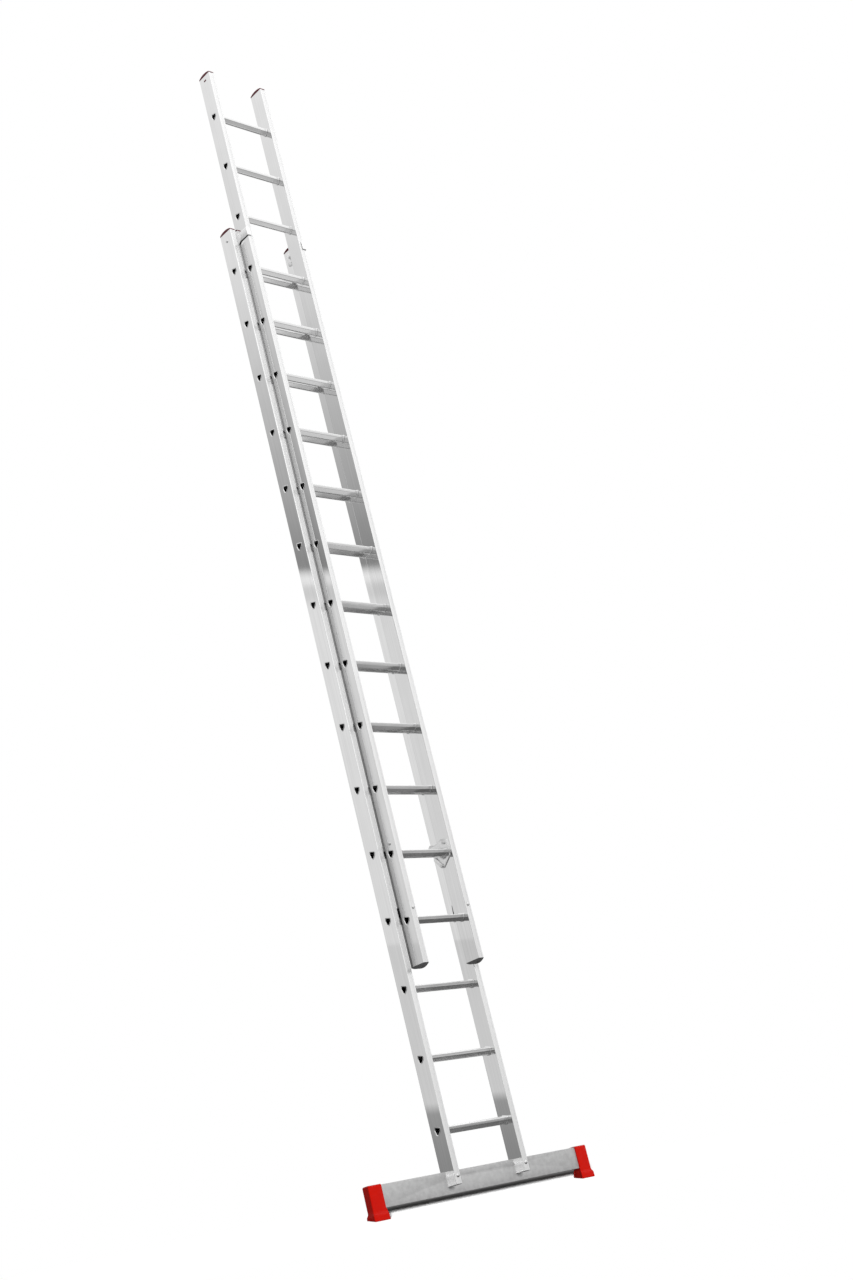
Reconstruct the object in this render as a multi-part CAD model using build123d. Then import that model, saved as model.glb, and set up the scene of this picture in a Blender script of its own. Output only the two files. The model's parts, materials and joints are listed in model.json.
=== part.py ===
from build123d import *
import os
from math import cos, radians, sqrt, tan

# Two-section push-up extension ladder, raised by three rungs and leaned to its working angle.
# All sizes are millimetres. Pieces are built upright: X across, Y to the back, Z up along the
# stiles, zero at the lowest base rung's axis. At the end they are leaned back and set on Z = 0.

# Working position
LEAN = 15.0
RAISED_RUNGS = 3

# Rungs
RUNG_PITCH = 280.0
RUNG_DEPTH = 30.0
RUNG_HEIGHT = 30.0
RUNG_SIDE = 13.0
RUNG_KEEL_WIDTH = 9.0
RUNG_WALL = 1.8

# Swaged joint of a rung in a stile
BEAD_HEIGHT = 3.0
BEAD_LENGTH = 6.0
FLARE_LENGTH = 1.5
FLARE_SPREAD = 1.8

# Stiles
STILE_DEPTH = 80.0
STILE_WIDTH = 28.0
STILE_WALL = 2.2
STILE_CORNER = 3.0
STILE_LENGTH = 4340.0
STILE_GROOVE_WIDTH = 11.0
STILE_GROOVE_DEPTH = 0.8
STILE_HEAD = 150.0
BASE_HEEL = 208.0
FLY_HEEL = 182.0

# How the fly nests in the base
CLIMB_WIDTH = 280.0
SIDE_GAP = 6.0
NEST_DEPTH = 8.0

# Stile caps
CAP_FLANGE = 2.5
CAP_CROWN = 6.0
CAP_CORNER = 1.8
TOP_PLUG_LENGTH = 40.0
BOTTOM_PLUG_LENGTH = 18.0
CAP_PLUG_WALL = 2.0
CAP_PLUG_CLEARANCE = 0.2
CAP_TAB_DROP = 29.0
CAP_TAB_WIDTH = 12.0
CAP_TAB_HEIGHT = 6.0
CAP_TAB_CLEARANCE = 1.0

# Stabiliser bar and its feet
BAR_SPAN = 1200.0
BAR_HEIGHT = 85.0
BAR_DEPTH = 28.0
BAR_WALL = 2.5
BAR_LAP = 56.0
BAR_BOLT_DROP = 25.0
FOOT_WIDTH = 65.0
FOOT_WALL = 5.0
FOOT_TOP_WALL = 3.0
FOOT_END_WALL = 4.0
FOOT_CORNER = 4.0
FOOT_ANKLE = 10.0
FOOT_FLARE = 5.0
FOOT_FLARE_HEIGHT = 14.0
FOOT_SOLE_DROP = 38.0

# Guide brackets at the top of the base
BRACKET_DROP = 22.0
BRACKET_HEIGHT = 66.0
BRACKET_LIP_HEIGHT = 42.0
BRACKET_NECK = 16.0
BRACKET_PLATE = 3.0
BRACKET_RUN_GAP = 1.2
BRACKET_LIP = 22.0
BRACKET_TAIL = 24.0
BRACKET_BEND = 4.0
BRACKET_TAIL_CORNER = 10.0
BRACKET_BOLT_DROP = 48.0
BRACKET_RIVET_DROP = 73.0
RIVET_RADIUS = 2.4
RIVET_HEAD_RADIUS = 5.0
RIVET_HEAD_HEIGHT = 1.5
RIVET_TAIL = 5.0

# Rung hooks on the fly
HOOK_RUNG = 2
HOOK_PLATE = 4.0
HOOK_BEAD_CLEARANCE = 0.5
HOOK_SEAT_GAP = 0.3
HOOK_MOUTH_GAP = 1.0
HOOK_PRONG = 12.0
HOOK_PRONG_DROP = 24.0
HOOK_CROWN = 19.0
HOOK_BOLT_RISE = 43.0
HOOK_BOLT_BACK = 4.0
HOOK_BOLT_LAND = 15.0
HOOK_CHEEK = 25.0
HOOK_CORNER = 5.0

# Safety catch under the hooked rung
CATCH_PLATE = 4.0
CATCH_SIDE_GAP = 0.4
CATCH_PIN_BACK = 20.0
CATCH_PIN_DROP = 54.0
CATCH_EYE = 9.0
CATCH_NOSE_GAP = 3.5
CATCH_NOSE_REACH = 5.0
CATCH_NOSE_DEPTH = 12.0
PIN_RADIUS = 4.0
PIN_CLEARANCE = 0.08
PIN_HEAD_RADIUS = 7.0
PIN_HEAD_HEIGHT = 2.5

# Guide pads at the foot of the fly
PAD_HEIGHT = 40.0
PAD_THICKNESS = 7.0
PAD_TOP_THICKNESS = 3.0
PAD_RUN_GAP = 1.0
PAD_INSET = 2.0
PAD_RISE = 45.0

# Fasteners, cut with a few flats in place of a round
FASTENER_SIDES = 8
BOLT_RADIUS = 4.0
BOLT_CLEARANCE = 0.2
HEAD_RADIUS = 7.5
HEAD_HEIGHT = 4.0
HEAD_CHAMFER = 2.0
NUT_RADIUS = 7.5
NUT_HEIGHT = 6.5
BOLT_TIP = 2.0

# How far a cut runs past the face it opens
CUT_PAST = 1.0

# Places that follow from the sizes above
FLY_INNER = CLIMB_WIDTH / 2
FLY_OUTER = FLY_INNER + STILE_WIDTH
BASE_INNER = FLY_OUTER + SIDE_GAP
BASE_OUTER = BASE_INNER + STILE_WIDTH
FLY_Y = NEST_DEPTH - STILE_DEPTH
FLY_Z = RAISED_RUNGS * RUNG_PITCH + FLY_Y * tan(radians(LEAN))
FRONT = -STILE_DEPTH / 2
REAR = STILE_DEPTH / 2
BASE_BOTTOM = -BASE_HEEL
BASE_TOP = BASE_BOTTOM + STILE_LENGTH
FLY_BOTTOM = FLY_Z - FLY_HEEL
FLY_TOP = FLY_BOTTOM + STILE_LENGTH
FLY_FRONT = FLY_Y + FRONT
FLY_REAR = FLY_Y + REAR
BAR_FRONT = REAR - BAR_DEPTH
BAR_Y = REAR - BAR_DEPTH / 2
BAR_TOP = BASE_BOTTOM + BAR_LAP
BAR_BOTTOM = BAR_TOP - BAR_HEIGHT
BAR_BOLT_Z = BAR_TOP - BAR_BOLT_DROP
SOLE_Z = BAR_BOTTOM - FOOT_SOLE_DROP
FOOT_X = BAR_SPAN / 2 - FOOT_WIDTH / 2
PAD_Z = FLY_Z + PAD_RISE
HOOK_Z = FLY_Z + (HOOK_RUNG - 1) * RUNG_PITCH
BRACKET_TOP = BASE_TOP - BRACKET_DROP
BRACKET_BOTTOM = BRACKET_TOP - BRACKET_HEIGHT
BRACKET_BOLT_Z = BASE_TOP - BRACKET_BOLT_DROP
BRACKET_RIVET_Z = BASE_TOP - BRACKET_RIVET_DROP
BOLT_HOLE = BOLT_RADIUS + BOLT_CLEARANCE
# Level distance from a fly rung back to the base rung beside it
RUNG_STEP = -FLY_Y / cos(radians(LEAN))

SIDES = {"left": -1, "right": 1}


def levelled(shape, y, z):
    """Turn a shape drawn level in use, about X, so that it is level once the ladder leans."""
    return Pos(0, y, z) * Rot(LEAN, 0, 0) * shape


def to_side(shape, side):
    """Take a shape drawn for the right-hand side to its own side."""
    return shape if side > 0 else mirror(shape, about=Plane.YZ)


def box_between(x0, x1, y0, y1, z0, z1):
    """A box from its six limits."""
    return Pos((x0 + x1) / 2, (y0 + y1) / 2, (z0 + z1) / 2) * Box(x1 - x0, y1 - y0, z1 - z0)


def round_x(radius, x0, x1, y, z):
    """A round bar along X."""
    return Pos((x0 + x1) / 2, y, z) * Rot(0, 90, 0) * Cylinder(radius, x1 - x0)


def shank(radius, length):
    """A fastener's shank standing on the XY plane."""
    return extrude(RegularPolygon(radius, FASTENER_SIDES), amount=length)


def shank_x(radius, x0, x1, y, z):
    """A fastener's shank along X."""
    return Pos(x0, y, z) * Rot(0, 90, 0) * shank(radius, x1 - x0)


def shank_y(radius, y0, y1, x, z):
    """A fastener's shank along Y."""
    return Pos(x, y0, z) * Rot(-90, 0, 0) * shank(radius, y1 - y0)


def rung_corners(grow):
    """Corners of a rung's shield section in Y and Z, with each side moved out by grow.

    The section has a flat tread, upright edges, and sides drawn in to a narrow keel. A corner
    moves along the sum of its two sides' normals, so that both sides move by the same distance.
    """
    half = RUNG_DEPTH / 2
    top = RUNG_HEIGHT / 2
    keel = RUNG_KEEL_WIDTH / 2
    right = [(keel, -top), (half, top - RUNG_SIDE), (half, top)]
    left = [(-y, z) for y, z in reversed(right)]
    corners = [Vector(*corner) for corner in right + left]
    moved = []
    for before, corner, after in zip(corners[-1:] + corners, corners, corners[1:] + corners):
        normal = (corner - before).normalized().rotate(Axis.Z, -90)
        next_normal = (after - corner).normalized().rotate(Axis.Z, -90)
        moved.append(corner + (normal + next_normal) * (grow / (1 + normal.dot(next_normal))))
    return moved


def rung_outline(grow):
    """A rung's section as a face, grown or shrunk."""
    return Polygon(*rung_corners(grow), align=None)


def along_x(outline, x0, x1):
    """An outline drawn in Y and Z, carried straight along X."""
    return Pos(x0, 0, 0) * extrude(Plane.YZ * outline, amount=x1 - x0, dir=(1, 0, 0))


def rung_prism(grow, x0, x1):
    """A straight length of the rung section, grown or shrunk."""
    return along_x(rung_outline(grow), x0, x1)


def rung_taper(grow0, x0, grow1, x1):
    """A tapering length of the rung section along X, closed by flat faces."""
    start = [Vector(x0, corner.X, corner.Y) for corner in rung_corners(grow0)]
    end = [Vector(x1, corner.X, corner.Y) for corner in rung_corners(grow1)]
    sides = zip(start, start[1:] + start[:1], end[1:] + end[:1], end)
    return Solid(Shell([Face(Wire.make_polygon(loop)) for loop in [start, end, *sides]]))


def rung(inner):
    """Hollow rung swaged through two stiles: a bead inside each one and a flare outside it."""
    outer = inner + STILE_WIDTH
    tip = outer + FLARE_LENGTH
    solid = rung_prism(0, -outer, outer)
    bore = rung_prism(-RUNG_WALL, -tip, tip)
    for side in SIDES.values():
        solid += rung_taper(0, side * (inner - BEAD_LENGTH), BEAD_HEIGHT, side * inner)
        solid += rung_taper(0, side * outer, FLARE_SPREAD, side * tip)
        bore += rung_taper(-RUNG_WALL, side * outer, FLARE_SPREAD - RUNG_WALL, side * tip)
    return solid - bore


def stile_outline():
    """Rounded box section of a stile with a shallow groove down its front and back."""
    outline = RectangleRounded(STILE_WIDTH, STILE_DEPTH, STILE_CORNER)
    groove = Rectangle(STILE_GROOVE_WIDTH, 2 * STILE_GROOVE_DEPTH)
    return outline - Pos(0, FRONT) * groove - Pos(0, REAR) * groove


def rung_count(heel):
    """How many rungs fit in a stile above its heel."""
    return int((STILE_LENGTH - heel - STILE_HEAD) / RUNG_PITCH) + 1


def stile(x, y, heel, first_rung):
    """One hollow stile with a hole for each rung, standing at x and y."""
    bore = Rectangle(STILE_WIDTH - 2 * STILE_WALL, STILE_DEPTH - 2 * STILE_WALL)
    solid = Pos(x, y, first_rung - heel) * extrude(stile_outline() - bore, amount=STILE_LENGTH)
    hole = rung_prism(0, x - STILE_WIDTH, x + STILE_WIDTH)
    heights = [first_rung + step * RUNG_PITCH for step in range(rung_count(heel))]
    return solid.cut(*[levelled(hole, y, height) for height in heights])


def base_stile():
    """Right base stile, notched at the back for the bar, with holes for its bolts."""
    x = BASE_INNER + STILE_WIDTH / 2
    solid = stile(x, 0, BASE_HEEL, 0)
    inside = BASE_INNER - CUT_PAST
    outside = BASE_OUTER + CUT_PAST
    below = BASE_BOTTOM - CUT_PAST
    solid -= box_between(inside, outside, BAR_FRONT, REAR + CUT_PAST, below, BAR_TOP)
    solid -= shank_y(BOLT_HOLE, FRONT - CUT_PAST, BAR_FRONT, x, BAR_BOLT_Z)
    solid -= shank_x(BOLT_HOLE, inside, outside, 0, BRACKET_BOLT_Z)
    return solid - shank_x(RIVET_RADIUS, inside, x, 0, BRACKET_RIVET_Z)


def fly_stile():
    """Right fly stile with holes for its hook bolt, its guide pad bolt and its top cap's tab."""
    x = FLY_INNER + STILE_WIDTH / 2
    solid = stile(x, FLY_Y, FLY_HEEL, FLY_Z)
    inside = FLY_INNER - CUT_PAST
    outside = FLY_OUTER + CUT_PAST
    hook_hole = shank_x(BOLT_HOLE, inside, outside, HOOK_BOLT_BACK, HOOK_BOLT_RISE)
    solid -= levelled(hook_hole, FLY_Y, HOOK_Z)
    solid -= shank_y(BOLT_HOLE, FLY_FRONT - CUT_PAST, FLY_REAR + CUT_PAST, x, PAD_Z)
    return solid - Pos(x, FLY_Y, FLY_TOP) * cap_tab(CAP_TAB_CLEARANCE, outside - x)


def cap_tab(grow, reach):
    """Snap tab on the right-hand side of a top cap's plug, grown all round, reaching out along X."""
    half = CAP_TAB_WIDTH / 2 + grow
    low = -CAP_TAB_DROP - CAP_TAB_HEIGHT / 2 - grow
    high = -CAP_TAB_DROP + CAP_TAB_HEIGHT / 2 + grow
    return box_between(STILE_WIDTH / 2 - STILE_WALL - CAP_PLUG_WALL, reach, -half, half, low, high)


def cap(depth, plug_length):
    """Moulded stile cap on the XY plane: crowned along its depth, with a hollow plug below."""
    half = depth / 2
    crown = CAP_FLANGE + CAP_CROWN
    edge = Polyline((-half, CAP_FLANGE), (-half, 0), (half, 0), (half, CAP_FLANGE))
    arc = ThreePointArc((half, CAP_FLANGE), (0, crown), (-half, CAP_FLANGE))
    side_view = make_face(edge.edges() + arc.edges())
    head = along_x(side_view, -STILE_WIDTH / 2, STILE_WIDTH / 2)
    head &= extrude(chamfer(Rectangle(STILE_WIDTH, depth).vertices(), CAP_CORNER), amount=crown)
    inset = 2 * (STILE_WALL + CAP_PLUG_CLEARANCE)
    plug_outer = Rectangle(STILE_WIDTH - inset, depth - inset)
    plug_inner = Rectangle(STILE_WIDTH - inset - 2 * CAP_PLUG_WALL, depth - inset - 2 * CAP_PLUG_WALL)
    return head + extrude(plug_outer - plug_inner, amount=-plug_length)


def stabiliser_bar():
    """Hollow bar across the back of both base stiles, drilled for their bolts."""
    half = BAR_SPAN / 2 - FOOT_END_WALL
    solid = box_between(-half, half, BAR_FRONT, REAR, BAR_BOTTOM, BAR_TOP)
    solid -= box_between(
        -half, half, BAR_FRONT + BAR_WALL, REAR - BAR_WALL, BAR_BOTTOM + BAR_WALL, BAR_TOP - BAR_WALL
    )
    for side in SIDES.values():
        x = side * (BASE_INNER + STILE_WIDTH / 2)
        solid -= shank_y(BOLT_HOLE, BAR_FRONT - CUT_PAST, REAR + CUT_PAST, x, BAR_BOLT_Z)
    return solid


def foot():
    """Moulded right foot: a sleeve over the bar's end above a flared sole, cut level in use."""
    depth = BAR_DEPTH + 2 * FOOT_WALL
    ankle = BAR_BOTTOM - FOOT_ANKLE
    leg = chamfer(Rectangle(FOOT_WIDTH, depth).vertices(), FOOT_CORNER)
    tread_corner = FOOT_CORNER + FOOT_FLARE * (2 - sqrt(2))
    tread = Rectangle(FOOT_WIDTH + 2 * FOOT_FLARE, depth + 2 * FOOT_FLARE)
    tread = chamfer(tread.vertices(), tread_corner)
    reach = FOOT_WIDTH + FOOT_SOLE_DROP + depth
    skirt = extrude(tread, amount=-reach)
    skirt = chamfer(
        skirt.faces().sort_by(Axis.Z)[-1].edges(), FOOT_FLARE, FOOT_FLARE_HEIGHT,
        reference=skirt.faces().sort_by(Axis.Z)[-1],
    )
    solid = Pos(FOOT_X, BAR_Y, ankle) * (extrude(leg, amount=BAR_TOP + FOOT_TOP_WALL - ankle) + skirt)
    solid -= Pos(FOOT_X, BAR_Y, SOLE_Z) * Rot(LEAN, 0, 0) * Pos(0, 0, -reach / 2) * Box(
        2 * reach, 2 * reach, reach
    )
    socket_end = BAR_SPAN / 2 - FOOT_END_WALL
    return solid - box_between(FOOT_X - reach, socket_end, BAR_FRONT, REAR, BAR_BOTTOM, BAR_TOP)


def bracket_side_view():
    """Outline of a guide bracket in Y and Z: a tall tail in the base stile and a narrower arm."""
    middle = (BRACKET_TOP + BRACKET_BOTTOM) / 2
    high = middle + BRACKET_LIP_HEIGHT / 2
    low = middle - BRACKET_LIP_HEIGHT / 2
    reach = FLY_FRONT - BRACKET_RUN_GAP - BRACKET_PLATE
    outline = Polygon(
        (BRACKET_TAIL, BRACKET_TOP), (FRONT, BRACKET_TOP), (FRONT - BRACKET_NECK, high), (reach, high),
        (reach, low), (FRONT - BRACKET_NECK, low), (FRONT, BRACKET_BOTTOM), (BRACKET_TAIL, BRACKET_BOTTOM),
        align=None,
    )
    return fillet(outline.vertices().group_by(Axis.X)[-1], BRACKET_TAIL_CORNER)


def guide_bracket():
    """Bent right bracket: bolted inside the base stile, along the fly stile and round its front."""
    out = BASE_INNER
    face = BASE_INNER - BRACKET_PLATE
    lip_back = FLY_FRONT - BRACKET_RUN_GAP
    lip_front = lip_back - BRACKET_PLATE
    tip = out - BRACKET_LIP
    plan = Polygon(
        (out, BRACKET_TAIL), (out, lip_front), (tip, lip_front), (tip, lip_back), (face, lip_back),
        (face, BRACKET_TAIL), align=None,
    )
    bend = plan.vertices().group_by(Axis.Y)[0].sort_by(Axis.X)[-1]
    plan = fillet(bend, BRACKET_BEND)
    solid = Pos(0, 0, BRACKET_BOTTOM) * extrude(plan, amount=BRACKET_HEIGHT, dir=(0, 0, 1))
    solid &= along_x(bracket_side_view(), tip, out)
    solid -= shank_x(BOLT_HOLE, face - CUT_PAST, out + CUT_PAST, 0, BRACKET_BOLT_Z)
    return solid - shank_x(RIVET_RADIUS, face - CUT_PAST, out + CUT_PAST, 0, BRACKET_RIVET_Z)


def hook():
    """Right hook plate, level in use: round its own rung, bolted above it, clawed over the next."""
    seat = RUNG_HEIGHT / 2 + HOOK_SEAT_GAP
    half_mouth = RUNG_DEPTH / 2 + HOOK_MOUTH_GAP
    front = RUNG_STEP - half_mouth
    back = RUNG_STEP + half_mouth
    top = HOOK_BOLT_RISE + HOOK_BOLT_LAND
    lobe_front = CATCH_PIN_BACK - CATCH_EYE
    lobe_back = CATCH_PIN_BACK + CATCH_EYE
    lobe_low = -CATCH_PIN_DROP - CATCH_EYE
    rim = [
        (-HOOK_CHEEK, RUNG_HEIGHT / 2),
        (HOOK_BOLT_BACK - HOOK_BOLT_LAND, top),
        (HOOK_BOLT_BACK + HOOK_BOLT_LAND, top),
        (front, seat + HOOK_CROWN),
        (back, seat + HOOK_CROWN),
        (back + HOOK_PRONG, seat),
        (back + HOOK_PRONG, seat - HOOK_PRONG_DROP),
        (back, seat - HOOK_PRONG_DROP),
    ]
    mouth = [(back, seat), (front, seat)]
    lower = [
        (front, -RUNG_HEIGHT / 2),
        (lobe_back, lobe_low),
        (lobe_front, lobe_low),
        (-HOOK_CHEEK, -RUNG_HEIGHT / 2),
    ]
    outline = Polygon(*rim, *mouth, *lower, align=None)
    corners = outline.vertices()
    soft = corners.group_by(Axis.Y)[-1] + corners.group_by(Axis.Y)[0] + corners.group_by(Axis.X)[-1]
    outline = fillet(soft, HOOK_CORNER)
    outline -= rung_outline(BEAD_HEIGHT + HOOK_BEAD_CLEARANCE)
    outline -= Pos(HOOK_BOLT_BACK, HOOK_BOLT_RISE) * RegularPolygon(BOLT_HOLE, FASTENER_SIDES)
    outline -= Pos(CATCH_PIN_BACK, -CATCH_PIN_DROP) * Circle(PIN_RADIUS + PIN_CLEARANCE)
    return levelled(along_x(outline, FLY_INNER - HOOK_PLATE, FLY_INNER), FLY_Y, HOOK_Z)


def catch_inner():
    """Inner face of the right catch."""
    return FLY_INNER - HOOK_PLATE - CATCH_SIDE_GAP - CATCH_PLATE


def catch():
    """Right catch lever: an eye on its pin and a flat-topped nose below the hooked rung."""
    nose_top = -RUNG_HEIGHT / 2 - CATCH_NOSE_GAP
    nose_front = RUNG_STEP - RUNG_DEPTH / 2 - CATCH_NOSE_REACH
    nose_back = RUNG_STEP - RUNG_DEPTH / 2 + CATCH_NOSE_REACH
    eye = Pos(CATCH_PIN_BACK, -CATCH_PIN_DROP) * Circle(CATCH_EYE)
    arm = make_hull(
        eye.edges()
        + Polygon(
            (nose_front, nose_top), (nose_back, nose_top), (nose_back, nose_top - CATCH_NOSE_DEPTH),
            align=None,
        ).edges()
    )
    arm -= Pos(CATCH_PIN_BACK, -CATCH_PIN_DROP) * Circle(PIN_RADIUS + PIN_CLEARANCE)
    return levelled(along_x(arm, catch_inner(), catch_inner() + CATCH_PLATE), FLY_Y, HOOK_Z)


def catch_pin():
    """Right rivet that carries the catch on the hook plate, with a flat head over the catch."""
    face = catch_inner() - CATCH_SIDE_GAP
    pin = round_x(PIN_RADIUS, face, FLY_INNER, CATCH_PIN_BACK, -CATCH_PIN_DROP)
    pin += shank_x(PIN_HEAD_RADIUS, face - PIN_HEAD_HEIGHT, face, CATCH_PIN_BACK, -CATCH_PIN_DROP)
    return levelled(pin, FLY_Y, HOOK_Z)


def guide_pad():
    """Right wedge of nylon behind the fly stile's foot, running along the base stile's inner face."""
    back = FLY_REAR + PAD_THICKNESS
    top_back = FLY_REAR + PAD_TOP_THICKNESS
    low = PAD_Z - PAD_HEIGHT / 2
    high = PAD_Z + PAD_HEIGHT / 2
    side_view = Polygon((FLY_REAR, low), (back, low), (top_back, high), (FLY_REAR, high), align=None)
    solid = along_x(side_view, FLY_INNER + PAD_INSET, BASE_INNER - PAD_RUN_GAP)
    return solid - pad_bolt_shank(BOLT_CLEARANCE)


def pad_bolt_shank(grow):
    """Shank of the right guide pad bolt, through the fly stile and into the pad."""
    tip = FLY_REAR + PAD_TOP_THICKNESS
    return shank_y(BOLT_RADIUS + grow, FLY_FRONT, tip + grow, FLY_INNER + STILE_WIDTH / 2, PAD_Z)


def bolt_head():
    """Low domed bolt head on the XY plane."""
    head = shank(HEAD_RADIUS, HEAD_HEIGHT)
    return chamfer(head.edges().group_by(Axis.Z)[-1], HEAD_CHAMFER)


def nut():
    """Hexagon nut on the XY plane, bored for its bolt."""
    body = extrude(RegularPolygon(NUT_RADIUS, 6), amount=NUT_HEIGHT)
    return body - shank(BOLT_RADIUS + BOLT_CLEARANCE / 2, NUT_HEIGHT)


def bolt_x(seat, nut_seat, y, z):
    """Bolt along X with its head outside the seat, and the nut inside the nut seat."""
    bolt = shank_x(BOLT_RADIUS, nut_seat - NUT_HEIGHT - BOLT_TIP, seat, y, z)
    bolt += Pos(seat, y, z) * Rot(0, 90, 0) * bolt_head()
    return bolt, Pos(nut_seat, y, z) * Rot(0, -90, 0) * nut()


def bracket_rivet():
    """Blind rivet of the right guide bracket, headed on its plate, its tail inside the base stile."""
    face = BASE_INNER - BRACKET_PLATE
    tail = BASE_INNER + STILE_WALL
    rivet = shank_x(RIVET_RADIUS, face, tail, 0, BRACKET_RIVET_Z)
    rivet += shank_x(RIVET_HEAD_RADIUS, face - RIVET_HEAD_HEIGHT, face, 0, BRACKET_RIVET_Z)
    return rivet + shank_x(RIVET_HEAD_RADIUS, tail, tail + RIVET_TAIL, 0, BRACKET_RIVET_Z)


def hook_fasteners():
    """Bolt and nut of the right hook."""
    pair = bolt_x(FLY_OUTER, FLY_INNER - HOOK_PLATE, HOOK_BOLT_BACK, HOOK_BOLT_RISE)
    return [levelled(piece, FLY_Y, HOOK_Z) for piece in pair]


def bar_fasteners():
    """Bolt and nut that hold the bar in the right base stile."""
    x = BASE_INNER + STILE_WIDTH / 2
    bolt = shank_y(BOLT_RADIUS, FRONT, REAR + NUT_HEIGHT + BOLT_TIP, x, BAR_BOLT_Z)
    bolt += Pos(x, FRONT, BAR_BOLT_Z) * Rot(90, 0, 0) * bolt_head()
    return bolt, Pos(x, REAR, BAR_BOLT_Z) * Rot(-90, 0, 0) * nut()


def pad_bolt():
    """Right guide pad bolt with its head on the fly stile's front."""
    x = FLY_INNER + STILE_WIDTH / 2
    return pad_bolt_shank(0) + Pos(x, FLY_FRONT, PAD_Z) * Rot(90, 0, 0) * bolt_head()


def both_sides(shapes):
    """A group of separate pieces with their mirror images."""
    return Compound(children=[to_side(shape, side) for shape in shapes for side in SIDES.values()])


def build():
    """Every piece by its node's name, upright."""
    pieces = {}
    base_rung = rung(BASE_INNER)
    fly_rung = rung(FLY_INNER)
    for step in range(rung_count(BASE_HEEL)):
        pieces[f"base_rung_{step + 1:02d}"] = levelled(base_rung, 0, step * RUNG_PITCH)
    for step in range(rung_count(FLY_HEEL)):
        pieces[f"fly_rung_{step + 1:02d}"] = levelled(fly_rung, FLY_Y, FLY_Z + step * RUNG_PITCH)

    top_cap = cap(STILE_DEPTH, TOP_PLUG_LENGTH)
    heel_cap = Rot(180, 0, 0) * cap(STILE_DEPTH - BAR_DEPTH, BOTTOM_PLUG_LENGTH)
    foot_cap = Rot(180, 0, 0) * cap(STILE_DEPTH, BOTTOM_PLUG_LENGTH)
    base_x = BASE_INNER + STILE_WIDTH / 2
    fly_x = FLY_INNER + STILE_WIDTH / 2
    one_sided = {
        "base_{}_stile": base_stile(),
        "base_{}_top_cap": Pos(base_x, 0, BASE_TOP) * top_cap,
        "base_{}_bottom_cap": Pos(base_x, -BAR_DEPTH / 2, BASE_BOTTOM) * heel_cap,
        "{}_guide_bracket": guide_bracket(),
        "{}_foot": foot(),
        "fly_{}_stile": fly_stile(),
        "fly_{}_top_cap": Pos(fly_x, FLY_Y, FLY_TOP) * (top_cap + cap_tab(0, STILE_WIDTH / 2)),
        "fly_{}_bottom_cap": Pos(fly_x, FLY_Y, FLY_BOTTOM) * foot_cap,
        "{}_hook": hook(),
        "{}_hook_catch": catch(),
        "{}_guide_pad": guide_pad(),
    }
    for name, shape in one_sided.items():
        for side_name, side in SIDES.items():
            pieces[name.format(side_name)] = to_side(shape, side)

    bracket_bolt, bracket_nut = bolt_x(BASE_OUTER, BASE_INNER - BRACKET_PLATE, 0, BRACKET_BOLT_Z)
    bar_bolt, bar_nut = bar_fasteners()
    pieces["stabiliser_bar"] = stabiliser_bar()
    pieces["stabiliser_bolts"] = both_sides([bar_bolt])
    pieces["stabiliser_nuts"] = both_sides([bar_nut])
    pieces["guide_bracket_bolts"] = both_sides([bracket_bolt, bracket_rivet()])
    pieces["guide_bracket_nuts"] = both_sides([bracket_nut])
    pieces["hook_bolts"] = both_sides(hook_fasteners())
    pieces["guide_pad_bolts"] = both_sides([pad_bolt()])
    pieces["catch_pins"] = both_sides([catch_pin()])
    return pieces


# Lean the ladder back and stand its soles on Z = 0, midway between the feet
STAND = Rot(-LEAN, 0, 0) * Pos(0, -BAR_Y, -SOLE_Z)

os.makedirs("parts", exist_ok=True)
for node, piece in build().items():
    export_step(STAND * piece, f"parts/{node}.step")
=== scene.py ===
"""Looks of a leaning two-section extension ladder: finishes, fine rungs, caps, feet and fasteners.

The frame is in metres. Sizes of pieces are written in millimetres and turned into metres where a
piece is put in place. Ladder space is (across, back, up): across is X, up runs along the stiles and
back is square to both. Rungs are worked out in plain X, Y, Z, because their treads are level.
"""

import json
from math import atan2, cos, pi, radians, tan

import bmesh
import bpy
import numpy as np
from mathutils import Matrix, Vector


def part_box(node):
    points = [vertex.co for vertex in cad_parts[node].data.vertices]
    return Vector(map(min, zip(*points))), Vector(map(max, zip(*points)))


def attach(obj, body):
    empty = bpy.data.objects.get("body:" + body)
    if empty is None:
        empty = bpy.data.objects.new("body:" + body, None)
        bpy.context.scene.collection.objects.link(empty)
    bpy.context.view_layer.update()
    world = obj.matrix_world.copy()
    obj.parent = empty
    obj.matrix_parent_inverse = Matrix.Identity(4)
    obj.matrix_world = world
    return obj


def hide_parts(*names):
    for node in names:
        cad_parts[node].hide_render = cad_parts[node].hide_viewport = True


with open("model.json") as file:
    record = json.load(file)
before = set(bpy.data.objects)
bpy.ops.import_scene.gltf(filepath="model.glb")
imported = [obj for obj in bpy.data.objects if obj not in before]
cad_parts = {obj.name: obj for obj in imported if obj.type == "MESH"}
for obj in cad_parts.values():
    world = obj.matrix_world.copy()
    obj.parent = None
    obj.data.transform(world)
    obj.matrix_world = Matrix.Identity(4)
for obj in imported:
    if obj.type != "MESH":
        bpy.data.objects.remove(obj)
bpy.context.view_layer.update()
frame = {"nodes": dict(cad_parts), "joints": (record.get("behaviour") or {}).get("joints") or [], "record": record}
MM = 0.001

# Camera of the photograph
CAMERA_PLACE = (-5.195, -5.282, 1.084)
CAMERA_AIM = (0.066, 0.220, 2.241)
CAMERA_ROLL = 3.5
CAMERA_LENS = 51.64
CAMERA_SENSOR = 36.0

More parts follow.
